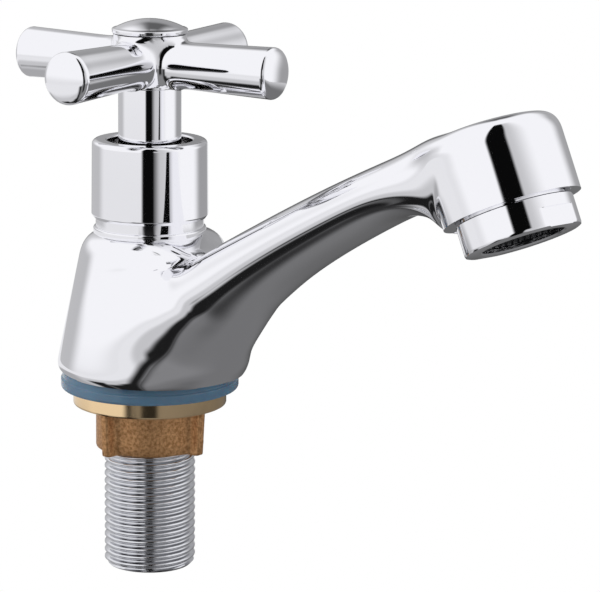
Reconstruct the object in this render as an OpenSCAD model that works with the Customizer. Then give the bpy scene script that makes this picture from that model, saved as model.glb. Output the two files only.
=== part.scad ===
// Deck-mounted pillar basin tap: cast body and spout, quarter-turn ceramic headwork,
// four-arm cross handle, aerator, deck gasket and flanged backnut.
// Millimetres. +Z points up the shank, +X points out along the spout.
// The origin is on the shank axis, in the plane where the gasket meets the deck.

/* [Body barrel] */
// Radius of the barrel cone at the body's underside
barrel_r = 21.6; // [20.5:0.1:26]
// Radius of the barrel cone at the shoulder
barrel_top_r = 15.9; // [15.5:0.1:17.5]
// Height of the shoulder above the underside
body_h = 32.8; // [31:0.1:38]
// How far the barrel's top centre leans towards the spout
barrel_lean = 1.6; // [0:0.1:2.5]
// Rounding of the shoulder's edge
shoulder_round = 5.5; // [3:0.1:7]
// Rounding of the edge at the underside
foot_round = 3; // [1.5:0.1:4]
// Radius of the machined collar above the shoulder
collar_r = 12.3; // [12.2:0.05:12.6]
// Height of the collar above the shoulder
collar_h = 7.2; // [6.6:0.1:9]

/* [Spout] */
// Distance from the shank axis to the outlet axis, at the head's rim
spout_reach = 113.2; // [105:0.5:150]
// Height of the head's rim centre above the underside
rim_h = 53.2; // [48:0.5:62]
// Slope of the spout, and tilt of the outlet axis from upright
spout_tilt = 25.7; // [22:0.1:29]
// Width of the spout at its waist
waist_w = 25.2; // [22:0.2:28]
// Radius of the spout's head
head_r = 14.1; // [13.4:0.1:16]
// Height of the head above its rim
head_h = 17.5; // [16.5:0.1:22]
// Rounding of the head's top edge
head_round = 4.5; // [2.5:0.1:6]
// Radius of the blend where the spout leaves the barrel
valley_blend = 5; // [3:0.1:7]
// Radius of the blend between spout and head
head_blend = 3; // [1.5:0.1:4]
// Radius of the water passage along the spout
passage_r = 4.6; // [3:0.1:5]

/* [Shank, gasket and backnut] */
// Radius over the crests of the G1/2 shank thread
shank_r = 10.478; // [10.478:0.001:10.5]
// Length of the shank below the deck plane
shank_l = 42; // [34:0.5:60]
// Radius of the inlet waterway in the shank
inlet_r = 7.2; // [6:0.1:8]
// How deep the shank seats in the body
shank_seat = 9; // [7:0.5:10]
// Chamfer on the shank's free end
shank_chamfer = 0.9; // [0.5:0.1:1.3]
// How far the deck gasket stays inside the barrel's foot
gasket_inset = 1.2; // [0.8:0.1:2.1]
// Thickness of the deck gasket
gasket_t = 4; // [3:0.1:6]
// Radius of the backnut's flange
flange_r = 17.6; // [16.8:0.1:20]
// Thickness of the backnut's flange
flange_t = 3.8; // [2.5:0.1:5]
// Radius of the backnut's drum
drum_r = 12.4; // [12:0.1:13.5]
// Height of the backnut below its flange
drum_h = 10.2; // [8:0.1:12]
// Number of lugs on the backnut
lug_count = 4; // [3:1:6]
// Distance from the axis to the lugs' outer ends
lug_reach = 16.1; // [15:0.1:16.6]
// Thickness of a lug
lug_t = 2; // [1.5:0.1:4]

/* [Shroud] */
// Outer radius of the shroud at its lower edge
shroud_r = 13.3; // [13.2:0.05:14.5]
// Outer radius of the shroud at its upper edge
shroud_top_r = 13.1; // [13.1:0.05:14.2]
// Height of the shroud
shroud_h = 17.8; // [17:0.1:20]
// Radius of the opening in the shroud's top
shroud_mouth_r = 9.7; // [9:0.1:11]
// Height of the shroud's lower edge above the shoulder
shroud_lift = 2.8; // [2.2:0.1:4.2]

/* [Handle] */
// Length of an arm, from the axis to its tip
arm_l = 34.2; // [28:0.1:45]
// Radius of an arm where it leaves the hub
arm_root_r = 4.8; // [4.2:0.1:5]
// Radius of an arm near its tip
arm_tip_r = 5.85; // [5.4:0.05:7]
// Number of arms
arm_count = 4; // [3:1:5]
// Turn of the first arm from the spout's line when the tap is shut
arm_turn = 16.5; // [0:0.5:45]
// Outer radius of the neck sleeve
neck_r = 7.15; // [6.9:0.05:7.6]
// Visible length of the neck sleeve above the shroud
neck_show = 12; // [9:0.5:16]
// Radius of the hub at its foot
hub_foot_r = 7.6; // [7.2:0.1:8]
// Radius of the hub under the cap
hub_top_r = 8.5; // [8:0.1:8.5]
// Height of the hub
hub_h = 12; // [11.5:0.1:14]
// Radius of the cap
cap_r = 8.6; // [8.6:0.1:10]
// Height of the cap's straight rim
cap_rim = 1.2; // [1:0.1:2.5]
// Height of the cap's dome above its rim
cap_dome = 2.1; // [1:0.1:4]

/* [Headwork] */
// Radius of the headwork's thread in the body
headwork_r = 10.42; // [10.3:0.01:10.46]
// Height of the valve seat above the underside
seat_h = 13; // [12:0.1:14.5]
// Width across the flats of the headwork's hexagon
hex_af = 20; // [18:0.5:20.5]
// Height of the hexagon
hex_h = 6; // [4:0.5:6.5]
// Radius of the spindle's stem
stem_r = 4; // [3.5:0.05:4.3]
// Thickness of one ceramic disc
disc_t = 3; // [2.5:0.1:3.2]
// Radius of the ceramic discs
disc_r = 8.1; // [7.6:0.1:8.1]
// Number of spline teeth on the spindle
spline_teeth = 20; // [12:2:24]

/* [Aerator] */
// Outer radius of the aerator's collar
aerator_r = 12.2; // [11.8:0.1:12.8]
// Height of the aerator's collar below the head's rim
aerator_h = 6.9; // [6:0.1:9]
// Radius of the aerator's thread in the head
aerator_thread_r = 10.95; // [10.6:0.05:11]
// Length of the aerator's thread
aerator_thread_l = 4.9; // [4:0.1:5.5]
// Height of the wrench flats
flat_h = 4; // [3:0.1:5]
// Distance across the wrench flats
flat_af = 22.8; // [22:0.1:23.4]
// Width of the bars in the outlet screen
screen_bar = 0.35; // [0.25:0.05:0.5]
// Spacing of the bars in the outlet screen
screen_pitch = 1.4; // [1.2:0.1:2.4]

/* [Clearances] */
// Radial clearance between threaded or pushed pieces
fit = 0.05; // [0.02:0.01:0.08]
// Gap between the lapped ceramic discs
lap_gap = 0.03; // [0.01:0.01:0.05]
// Radial clearance of a loose piece
loose = 0.2; // [0.1:0.05:0.4]

/* [Hidden] */

round_fn = 96;   // sides that a true round piece is drawn with
cut = 0.01;      // overrun of a cut past a face
chrome = "#c9ccd1";
brass = "#c79a55";
rough_brass = "#a5753f";
ceramic = "#efeee8";
rubber = "#3c4044";

// Heights above the deck plane
under_z = gasket_t;
gasket_r = barrel_r - gasket_inset;
shoulder_z = under_z + body_h;
collar_z = shoulder_z + collar_h;
shroud_z = shoulder_z + shroud_lift;
shroud_top_z = shroud_z + shroud_h;
hub_z = shroud_top_z + neck_show;
hub_top_z = hub_z + hub_h;
seat_z = under_z + seat_h;

// Numeric helpers
function along(deg) = [cos(deg), sin(deg)];
function soft_max(a, b, k) = let (h = max(1 - abs(a - b) / k, 0)) max(a, b) + k * h * h / 4;
function soft_min(a, b, k) = -soft_max(-a, -b, k);
function bezier(p, t) = pow(1 - t, 3) * p[0] + 3 * pow(1 - t, 2) * t * p[1]
                      + 3 * (1 - t) * t * t * p[2] + pow(t, 3) * p[3];
function spline_row(a, b, c, d, t) = 0.5 * (2 * b + (c - a) * t
    + (2 * a - 5 * b + 4 * c - d) * t * t + (3 * b - a - 3 * c + d) * pow(t, 3));

// Outlet frame, seen in the spout's middle plane: origin at the rim's centre,
// first axis up the slope of the spout, second axis up the outlet.
rim_c = [spout_reach, rim_h];
slope = along(spout_tilt);
lift = along(spout_tilt + 90);
function in_head(a, b) = rim_c + a * slope + b * lift;

// The casting's skin is a blend of three plain forms, each given as a signed measure
// that is negative inside: a leaning cone, a turned head and a spout of curved rails.
barrel_slope = (barrel_r - barrel_top_r) / body_h;
lean_slope = barrel_lean / body_h;
foot_sink = 0.2;
function barrel_field(p) =
    let (off = norm([p[0] - lean_slope * p[2], p[1]]),
         side = (off - barrel_r + barrel_slope * p[2]) / norm([1, barrel_slope]))
    soft_max(soft_max(side, p[2] - body_h, shoulder_round), -p[2] - foot_sink, foot_round);

head_fall = 0.04;   // the head's top falls this much per millimetre up the slope
function head_field(p) =
    let (d = [p[0], p[2]] - rim_c, a = d * slope, b = d * lift)
    soft_max(norm([a, p[1]]) - head_r, b - head_h + head_fall * a, head_round);

// Lower rail: up the front of the barrel, then along the spout's underside
toe = 3.5;            // how far the front bulges past the barrel's foot
neck_pull = 11.2;
neck_angle = 62;
under_pull = 0.5;     // share of the span that the straight underside takes
cove_back = 28;       // from the outlet axis back to the cove under the spout
cove_up = 8.1;
rail_toe = [barrel_r + toe, foot_round];
rail_cove = in_head(-cove_back, cove_up);
under_rail = [rail_toe, rail_toe + neck_pull * along(neck_angle),
              rail_cove - under_pull * (spout_reach + cut) * slope, rail_cove];

// Upper rail: from the valley beside the shoulder to the top of the head
valley_out = 4.1;     // from the barrel's top edge out to the valley
valley_drop = 3.7;    // from the shoulder down to the valley
rise_angle = 28;
crown_angle = 19.2;
rail_pull = 0.22;     // handle length as a share of the reach
head_back = 12.5;
valley = [barrel_top_r + valley_out, body_h - valley_drop];
head_start = in_head(-head_back, head_h + 1);
upper_rail = [valley, valley + rail_pull * spout_reach * along(rise_angle),
              head_start - rail_pull * spout_reach * along(crown_angle), head_start];

// A section line runs from the lower rail to the far skin. Only the part of it below
// the extended upper rail belongs to the spout; the rest belongs to the barrel.
function ramp_share(far, low) =
    let (d = far - low, s = along(rise_angle), e = valley - low)
    min(1, (e[0] * s[1] - e[1] * s[0]) / (d[0] * s[1] - d[1] * s[0]));

function section(far, low, half, split, top_n, low_n, share) =
    [far[0], far[1], low[0], low[1], share, half, split, top_n, low_n];

waist = waist_w / 2;
back_x = [for (s = [0.10, 0.31, 0.52, 0.76]) [-(barrel_r - barrel_slope * s * body_h)
          + lean_slope * s * body_h, s * body_h]];
over_top = concat(back_x, [[-12.6, body_h - 1.3], [-4, body_h], [7, body_h]]);
barrel_sections = [for (i = [0:6])
    let (low = bezier(under_rail, [0, 0.07, 0.14, 0.21, 0.28, 0.34, 0.40][i]),
         round_n = 2 + 0.007 * i * i)
    section(over_top[i], low, waist + 5.4 - 0.075 * i * i, 0.5, round_n, round_n,
            i < 2 ? 0.86 : ramp_share(over_top[i], low))];
spout_sections = [for (i = [0:5])
    let (far = bezier(upper_rail, [0, 0.17, 0.34, 0.54, 0.74, 0.90][i]),
         low = bezier(under_rail, [0.47, 0.58, 0.69, 0.81, 0.92, 1][i]))
    section(far, low, waist + [1.8, 0.9, 0.3, 0, 0.1, 0.5][i], 0.44, 2.4,
            2.25 + 0.08 * i, 1)];
head_sections = [
    section(head_start, in_head(-head_r - 3.4, 4.6), waist + 0.2, 0.48, 2.6, 2.5, 1),
    section(in_head(-4, head_h), in_head(-head_r - 0.7, 1.2), head_r - 3, 0.5, 2.4, 2.2, 0.95),
    for (s = [[5, 0.98, 1], [11.5, 0.87, 0.8], [13.6, 0.6, 0.6], [head_r, 0.31, 0.4],
              [head_r, 0.05, 0.2], [head_r, 0, 0]])
        section(in_head(s[0], s[1] * head_h), in_head(-head_r, s[2]), head_r - 5, 0.5, 2, 2, 0.8)];
stations = concat([section([-barrel_r + 0.8, 0], [barrel_r - 0.4, 0], waist + 4.9, 0.5, 2, 2, 0.86)],
                  barrel_sections, spout_sections, head_sections);

ring_steps = 2;   // rings per station
edge_steps = 5;   // rings per station where the spout leaves the shoulder
ring_sides = 40;  // points per ring
ray_max = 48;
last = len(stations) - 1;
function station(i) = i < 0 ? 2 * stations[0] - stations[1]
                    : i > last ? 2 * stations[last] - stations[last - 1] : stations[i];
function steps_at(i) = i > 4 && i < 9 ? edge_steps : ring_steps;
rows = [for (i = [0:last - 1], k = [0:steps_at(i) - 1])
            spline_row(station(i - 1), station(i), station(i + 1), station(i + 2), k / steps_at(i)),
        stations[last]];

function skin_point(row, c, s, r) =
    let (low = [row[2], row[3]], d = [row[0], row[1]] - low, len = norm(d),
         u = len / 2 + r * c, q = low + u * d / len)
    [q[0], r * s, q[1]];
function skin_field(row, c, s, r) =
    let (len = norm([row[0] - row[2], row[1] - row[3]]), top = len * row[4],
         mid = row[6] * top, u = len / 2 + r * c - mid,
         reach = u >= 0 ? top - mid : mid, n = u >= 0 ? row[7] : row[8],
         e = pow(pow(abs(u / reach), n) + pow(abs(r * s / row[5]), n), 1 / n),
         p = skin_point(row, c, s, r))
    soft_min(soft_min((e - 1) * min(reach, row[5]), barrel_field(p), valley_blend),
             head_field(p), head_blend);
function skin_reach(row, c, s, near, far, n) =
    n == 0 ? near
    : let (mid = (near + far) / 2)
      skin_field(row, c, s, mid) < 0 ? skin_reach(row, c, s, mid, far, n - 1)
                                     : skin_reach(row, c, s, near, mid, n - 1);
skin_rings = [for (row = rows) [for (j = [0:ring_sides - 1])
    let (a = 360 * j / ring_sides, c = cos(a), s = sin(a))
    skin_point(row, c, s, skin_reach(row, c, s, 0, ray_max, 16))]];

// Closed skin over a list of rings with equal counts of points
module loft(rings) {
    n = len(rings[0]);
    m = len(rings);
    polyhedron(
        points = [for (r = rings, p = r) p],
        faces = concat(
            [for (i = [0:m - 2], j = [0:n - 1]) let (k = (j + 1) % n)
                each [[i * n + j, (i + 1) * n + k, (i + 1) * n + j],
                      [i * n + j, i * n + k, (i + 1) * n + k]]],
            [[for (j = [n - 1:-1:0]) j]],
            [[for (j = [0:n - 1]) (m - 1) * n + j]]),
        convexity = 8);
}

// Water passage from the valve chamber up the spout to the aerator
chamber_r = 11.6;
chamber_low = 1;     // chamber floor above the valve seat
passage_sides = 16;
passage_rings = 9;
passage_line = [[chamber_r - 3, seat_h + 8], [34, seat_h + 13],
                in_head(-50, head_h / 2 + 4), in_head(-4, head_h / 2 + 1.5)];
function passage_ring(t) =
    let (c = bezier(passage_line, t),
         d = bezier(passage_line, t + 0.01) - bezier(passage_line, t - 0.01),
         side = [-d[1], d[0]] / norm(d))
    [for (j = [0:passage_sides - 1]) let (a = 360 * j / passage_sides)
        [c[0] + passage_r * cos(a) * side[0], passage_r * sin(a),
         c[1] + passage_r * cos(a) * side[1]]];

// Place children in the outlet's frame: their +Z runs up into the head
module at_outlet() {
    translate([spout_reach, 0, under_z + rim_h]) rotate([0, -spout_tilt, 0]) children();
}
module tube(r_out, r_in, h) {
    difference() {
        cylinder(r = r_out, h = h, $fn = round_fn);
        translate([0, 0, -cut]) cylinder(r = r_in, h = h + 2 * cut, $fn = round_fn);
    }
}

bead_r = 0.5;         // bead at the collar's foot
thread_top_l = 8;     // length of the headwork's thread in the body
head_bore_d = aerator_thread_l + 1.8;
outlet_r = aerator_thread_r - 2;
module tap_body() {
    color(chrome) difference() {
        union() {
            translate([0, 0, under_z]) loft(skin_rings);
            translate([0, 0, shoulder_z - 3]) rotate_extrude($fn = round_fn)
                polygon([[0, 0], [collar_r + bead_r, 0], [collar_r + bead_r, 3.3],
                         [collar_r, 3.3 + bead_r], [collar_r, 3 + collar_h], [0, 3 + collar_h]]);
        }
        // Socket for the shank, inlet hole and seat
        translate([0, 0, under_z - 1])
            cylinder(r = shank_r + fit, h = shank_seat + 1, $fn = round_fn);
        translate([0, 0, under_z]) cylinder(r = inlet_r - 1, h = seat_h + 1, $fn = round_fn);
        // Valve chamber, with a raised lip left standing as the seat
        difference() {
            translate([0, 0, seat_z - chamber_low])
                cylinder(r = chamber_r, h = collar_z - thread_top_l - seat_z + chamber_low - 2,
                         $fn = round_fn);
            translate([0, 0, seat_z - chamber_low - cut])
                tube(disc_r + 0.3, inlet_r - 1 - cut, chamber_low + cut);
        }
        translate([0, 0, seat_z + 1])
            cylinder(r = headwork_r + fit, h = collar_z - seat_z, $fn = round_fn);
        // Spout passage, outlet chamber and the aerator's threaded bore
        translate([0, 0, under_z]) loft([for (i = [0:passage_rings - 1])
                                         passage_ring(i / (passage_rings - 1))]);
        at_outlet() {
            translate([0, 0, head_bore_d - 1]) cylinder(r = outlet_r, h = 7, $fn = round_fn);
            translate([0, 0, -1])
                cylinder(r = aerator_thread_r + fit, h = head_bore_d + 1, $fn = round_fn);
        }
    }
}

module threaded_shank() {
    top = under_z + shank_seat;
    color("#b9bcc2") rotate_extrude($fn = round_fn)
        polygon([[inlet_r + 0.6, -shank_l], [shank_r - shank_chamfer, -shank_l],
                 [shank_r, shank_chamfer - shank_l], [shank_r, top - 0.4],
                 [shank_r - 0.4, top], [inlet_r, top], [inlet_r, 0.6 - shank_l]]);
}

gasket_lip = 0.35;    // the gasket's upper band is this much smaller
gasket_split = 0.55;  // share of the thickness below the band
module base_gasket() {
    inner = shank_r + loose;
    color("#6f97ad", 0.85) rotate_extrude($fn = round_fn)
        polygon([[inner, 0], [gasket_r - 0.5, 0], [gasket_r, 0.5],
                 [gasket_r, gasket_split * gasket_t],
                 [gasket_r - gasket_lip, gasket_split * gasket_t + 0.2],
                 [gasket_r - gasket_lip, gasket_t], [inner, gasket_t]]);
}

lug_turn = 8.5;       // first lug from the spout's line
lug_draft = 0.6;      // the lugs draw in by this much at the free end
lug_fillet = 1.6;
module backnut() {
    nut_h = flange_t + drum_h;
    fillet_y = lug_t / 2 + lug_fillet;
    color(rough_brass) difference() {
        union() {
            translate([0, 0, -flange_t]) rotate_extrude($fn = round_fn)
                polygon([[0, 0], [flange_r - 0.4, 0], [flange_r, 0.4], [flange_r, flange_t - 0.3],
                         [flange_r - 0.3, flange_t], [0, flange_t]]);
            translate([0, 0, -nut_h]) cylinder(r = drum_r, h = nut_h - 1, $fn = round_fn);
            // Lugs with casting fillets at their roots, drawn in towards the free end
            intersection() {
                translate([0, 0, -nut_h]) for (i = [0:lug_count - 1])
                    rotate(lug_turn + 360 * i / lug_count) linear_extrude(drum_h + 1)
                        polygon([[drum_r - 2, -fillet_y], [drum_r - 0.2, -fillet_y],
                                 [drum_r + 0.4, -fillet_y + 0.8], [drum_r + lug_fillet, -lug_t / 2],
                                 [lug_reach + 1, -lug_t / 2], [lug_reach + 1, lug_t / 2],
                                 [drum_r + lug_fillet, lug_t / 2], [drum_r + 0.4, fillet_y - 0.8],
                                 [drum_r - 0.2, fillet_y], [drum_r - 2, fillet_y]]);
                translate([0, 0, -nut_h]) rotate_extrude($fn = round_fn)
                    polygon([[0, 0], [lug_reach - lug_draft - 0.5, 0], [lug_reach - lug_draft, 0.5],
                             [lug_reach, drum_h], [lug_reach, drum_h + 0.5], [0, drum_h + 0.5]]);
            }
        }
        translate([0, 0, -nut_h - 1])
            cylinder(r = shank_r + fit, h = nut_h + 2, $fn = round_fn);
    }
}

shroud_wall = 1.2;
shroud_edge = 1;
module shroud() {
    skirt = collar_z - shroud_z;
    inner = collar_r + fit;
    color(chrome) translate([0, 0, shroud_z]) rotate_extrude($fn = round_fn)
        polygon([[inner, 0], [shroud_r - 0.5, 0], [shroud_r - 0.15, 0.25], [shroud_r, 0.7],
                 [shroud_top_r, shroud_h - shroud_edge],
                 [shroud_top_r - 0.3 * shroud_edge, shroud_h - 0.3 * shroud_edge],
                 [shroud_top_r - shroud_edge, shroud_h],
                 [shroud_mouth_r + 0.4, shroud_h], [shroud_mouth_r, shroud_h - 0.4],
                 [shroud_mouth_r, shroud_h - 2], [shroud_top_r - shroud_wall, shroud_h - 3.4],
                 [shroud_top_r - shroud_wall, skirt + 0.3], [inner, skirt + 0.1]]);
}

// Headwork heights, worked upwards from the valve seat
seal_t = 2.2;
washer_t = 1;
disc_z = seat_z + seal_t;
moving_z = disc_z + disc_t + lap_gap;
flange_z = moving_z + disc_t;
dog_h = 1.2;
spindle_flange_t = 3.2;
shoulder_in_z = flange_z + spindle_flange_t + 0.1;
cartridge_low = seat_z + 0.6;
hex_z = collar_z + washer_t;
hex_top_z = hex_z + hex_h;
friction_t = 0.6;
circlip_t = 0.8;
port_angle = 76;      // angle of one water port in the discs

module sector(r, angle, h) {
    linear_extrude(h) polygon(concat([[0, 0]],
        [for (i = [0:12]) r * along(-angle / 2 + angle * i / 12)]));
}

barrel_out_r = headwork_r - 1;
module cartridge_body() {
    color(brass) difference() {
        union() {
            translate([0, 0, cartridge_low])
                cylinder(r = barrel_out_r, h = hex_z - cartridge_low, $fn = round_fn);
            translate([0, 0, collar_z - thread_top_l])
                cylinder(r = headwork_r, h = thread_top_l + washer_t, $fn = round_fn);
            translate([0, 0, hex_z]) intersection() {
                cylinder(r = hex_af / sqrt(3), h = hex_h, $fn = 6);
                translate([0, 0, -1]) cylinder(r = hex_af / sqrt(3) - 0.25, h = hex_h + 2,
                                               $fn = round_fn);
            }
        }
        translate([0, 0, cartridge_low - 1])
            cylinder(r = disc_r + 0.1, h = shoulder_in_z - cartridge_low + 1, $fn = round_fn);
        translate([0, 0, cartridge_low])
            cylinder(r = stem_r + fit, h = hex_top_z, $fn = round_fn);
        // Two side windows let the water out of the disc chamber
        for (turn = [0, 180]) rotate(turn) translate([0, 0, moving_z - 0.5])
            sector(barrel_out_r + 2, 70, shoulder_in_z - moving_z - 1.5);
    }
}

module cartridge_washer() {
    color("#8a4b3a") translate([0, 0, collar_z])
        tube(collar_r - 0.4, headwork_r + fit, washer_t);
}

module seat_seal() {
    color(rubber) translate([0, 0, seat_z]) tube(disc_r, inlet_r - 1, seal_t);
}

module fixed_disc() {
    color(ceramic) translate([0, 0, disc_z]) difference() {
        cylinder(r = disc_r, h = disc_t, $fn = round_fn);
        for (turn = [0, 180]) rotate(turn + 90) translate([0, 0, -cut])
            intersection() {
                sector(disc_r, port_angle, disc_t + 2 * cut);
                tube(inlet_r - 1.2, 2, disc_t + 2 * cut);
            }
    }
}

slot_w = 3.4;
module moving_disc() {
    color("#d9dde2") translate([0, 0, moving_z]) difference() {
        cylinder(r = disc_r - 0.15, h = disc_t, $fn = round_fn);
        for (turn = [0, 180]) rotate(turn) translate([0, 0, -cut])
            difference() {
                sector(disc_r + 1, port_angle, disc_t + 2 * cut);
                translate([0, 0, -cut]) cylinder(r = 2, h = disc_t + 4 * cut, $fn = round_fn);
            }
        // Slot for the spindle's driving dogs
        translate([-slot_w / 2, -disc_r, disc_t - dog_h]) cube([slot_w, 2 * disc_r, dog_h + 1]);
    }
}

groove_r = 2.9;
oring_r = (stem_r - groove_r) / 2;
oring_low_z = shoulder_in_z + 4;
oring_pitch = 3.4;
spline_z = hex_top_z + friction_t + circlip_t + 1.4;
spline_l = 10;
screw_r = 1.95;
module star(r_tip, r_root, teeth) {
    polygon([for (i = [0:2 * teeth - 1]) (i % 2 == 0 ? r_tip : r_root) * along(180 * i / teeth)]);
}
module oring_groove(z) {
    translate([0, 0, z - oring_r - 0.1]) tube(stem_r + 1, groove_r, 2 * oring_r + 0.2);
}
module cartridge_spindle() {
    color("#d2ac66") difference() {
        union() {
            translate([0, 0, flange_z]) cylinder(r = disc_r - 0.5, h = spindle_flange_t,
                                                 $fn = round_fn);
            intersection() {
                translate([-slot_w / 2 + fit, -disc_r, flange_z - dog_h + fit])
                    cube([slot_w - 2 * fit, 2 * disc_r, dog_h]);
                translate([0, 0, flange_z - dog_h]) cylinder(r = disc_r - 0.5, h = dog_h + 1,
                                                             $fn = round_fn);
            }
            translate([0, 0, flange_z]) cylinder(r = stem_r, h = spline_z - flange_z + 0.5,
                                                 $fn = round_fn);
            translate([0, 0, spline_z]) linear_extrude(spline_l)
                star(stem_r - 0.05, stem_r - 0.5, spline_teeth);
        }
        oring_groove(oring_low_z);
        oring_groove(oring_low_z + oring_pitch);
        translate([0, 0, hex_top_z + friction_t]) tube(stem_r + 1, groove_r, circlip_t + 0.1);
        translate([0, 0, spline_z + spline_l - 8])
            cylinder(r = screw_r + fit, h = 9, $fn = round_fn);
    }
}
module oring(z) {
    translate([0, 0, z]) rotate_extrude($fn = round_fn) translate([groove_r + oring_r, 0])
        circle(r = oring_r, $fn = 24);
}
module lower_oring() { color(rubber) oring(oring_low_z); }
module upper_oring() { color(rubber) oring(oring_low_z + oring_pitch); }

module friction_washer() {
    color("#e6e6dd") translate([0, 0, hex_top_z]) tube(stem_r + 2.2, stem_r + 0.1, friction_t);
}

module spindle_circlip() {
    color("#8f9296") translate([0, 0, hex_top_z + friction_t + 0.05]) difference() {
        tube(stem_r + 1.6, groove_r + fit, circlip_t);
        translate([0, -1.4, -1]) cube([stem_r + 3, 2.8, circlip_t + 2]);
    }
}

stem_out_r = neck_r - 1.1;
neck_low_z = shroud_top_z - 5.5;
socket_top_z = spline_z + spline_l + 0.3;
screw_head_r = 3.4;
screw_head_z = hub_z + 2.4;
cap_plug_r = 5.9;
cap_plug_h = 3;
tip_round = 0.8;      // rounding at the edge of an arm's end
tip_dome = 0.65;      // rise of the end's middle over that edge
module arm() {
    rotate([0, 90, 0]) rotate_extrude($fn = round_fn)
        polygon([[0, 0], [arm_root_r, 0], [arm_root_r, hub_foot_r],
                 [arm_tip_r, arm_l - tip_dome - 1.6 * tip_round],
                 [arm_tip_r - 0.3 * tip_round, arm_l - tip_dome - 0.6 * tip_round],
                 [arm_tip_r - tip_round, arm_l - tip_dome],
                 [arm_tip_r / 2, arm_l - 0.3 * tip_dome], [0, arm_l]]);
}
arm_z = hub_z + 4.9;
module cross_handle() {
    color(chrome) difference() {
        union() {
            translate([0, 0, hub_z]) rotate_extrude($fn = round_fn)
                polygon([[0, 0], [hub_foot_r - 0.3, 0], [hub_foot_r, 0.3], [hub_foot_r, 2],
                         [hub_foot_r + 0.1, 0.5 * hub_h], [hub_top_r - 0.1, hub_h - 1],
                         [hub_top_r, hub_h], [0, hub_h]]);
            for (i = [0:arm_count - 1]) rotate(arm_turn + 360 * i / arm_count)
                translate([0, 0, arm_z]) arm();
            translate([0, 0, spline_z + 0.5])
                cylinder(r = stem_out_r - fit, h = hub_z - spline_z, $fn = round_fn);
        }
        translate([0, 0, spline_z]) linear_extrude(socket_top_z - spline_z)
            star(stem_r, stem_r - 0.45 + fit, spline_teeth);
        translate([0, 0, socket_top_z - 1]) cylinder(r = screw_r + loose,
                                                     h = hub_h + 10, $fn = round_fn);
        translate([0, 0, screw_head_z]) cylinder(r = screw_head_r + loose, h = hub_h,
                                                 $fn = round_fn);
        translate([0, 0, hub_top_z - cap_plug_h]) cylinder(r = cap_plug_r + fit,
                                                           h = cap_plug_h + 1, $fn = round_fn);
    }
}

module handle_neck() {
    color(chrome) translate([0, 0, neck_low_z])
        tube(neck_r, stem_out_r, hub_z - neck_low_z);
}

screw_head_t = 2.4;
module handle_screw() {
    low = spline_z + spline_l - 7;
    color("#9a9da1") difference() {
        union() {
            translate([0, 0, low]) cylinder(r = screw_r, h = screw_head_z - low + 0.5,
                                            $fn = round_fn);
            translate([0, 0, screw_head_z]) rotate_extrude($fn = round_fn)
                polygon([[0, 0], [screw_head_r, 0], [screw_head_r, screw_head_t - 0.8],
                         [screw_head_r - 0.8, screw_head_t], [0, screw_head_t]]);
        }
        for (turn = [0, 90]) rotate(turn)
            translate([-2, -0.45, screw_head_z + screw_head_t - 1.3]) cube([4, 0.9, 2]);
    }
}

cap_wall = 1.2;
module index_cap() {
    sphere_r = (pow(cap_r - 0.4, 2) + pow(cap_dome, 2)) / (2 * cap_dome);
    dome = [for (i = [0:8]) let (r = (cap_r - 0.4) * (1 - i / 8))
            [r, cap_rim + sqrt(sphere_r * sphere_r - r * r) - sphere_r + cap_dome]];
    color(chrome) translate([0, 0, hub_top_z]) difference() {
        union() {
            rotate_extrude($fn = round_fn)
                polygon(concat([[0, 0], [cap_r - 0.4, 0], [cap_r, 0.4], [cap_r, cap_rim - 0.4]], dome));
            translate([0, 0, -cap_plug_h + loose])
                cylinder(r = cap_plug_r, h = cap_plug_h, $fn = round_fn);
        }
        translate([0, 0, -cap_plug_h - 1])
            cylinder(r = cap_plug_r - cap_wall, h = cap_plug_h + 1.6, $fn = round_fn);
    }
}

insert_r = outlet_r + 0.5;
lip_r = insert_r - 0.8;
lip_t = 1;
screen_t = 0.8;
flat_turn = 0;        // turn of the flats from the spout's line
module aerator_housing() {
    color(chrome) at_outlet() difference() {
        union() {
            translate([0, 0, -aerator_h]) rotate_extrude($fn = round_fn)
                polygon([[0, 0], [aerator_r - 0.6, 0], [aerator_r, 0.6], [aerator_r, aerator_h],
                         [0, aerator_h]]);
            translate([0, 0, -1]) cylinder(r = aerator_thread_r, h = aerator_thread_l + 1,
                                           $fn = round_fn);
        }
        translate([0, 0, -aerator_h + lip_t])
            cylinder(r = insert_r + fit, h = aerator_h + aerator_thread_l, $fn = round_fn);
        translate([0, 0, -aerator_h - 1]) cylinder(r = lip_r, h = lip_t + 2, $fn = round_fn);
        // Wrench flats
        for (turn = [0, 180]) rotate(turn + flat_turn)
            translate([flat_af / 2, -aerator_r, -aerator_h - 1])
                cube([aerator_r, 2 * aerator_r, flat_h + 1]);
    }
}

jet_count = 12;
module aerator_insert() {
    low = -aerator_h + lip_t + screen_t;
    high = aerator_thread_l - 1.9;
    color("#5a5f66") at_outlet() difference() {
        union() {
            translate([0, 0, low]) tube(insert_r, insert_r - 1, high - low);
            translate([0, 0, low + 2]) cylinder(r = insert_r - 0.5, h = 1.6, $fn = round_fn);
            translate([0, 0, low]) cylinder(r = 2.6, h = 4.2, $fn = round_fn);
        }
        for (i = [0:jet_count - 1], r = [4.2, 6.6])
            rotate(360 * (i + (r > 5 ? 0.5 : 0)) / jet_count) translate([r, 0, low])
                cylinder(r = 0.6, h = 5, $fn = 16);
    }
}

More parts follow.
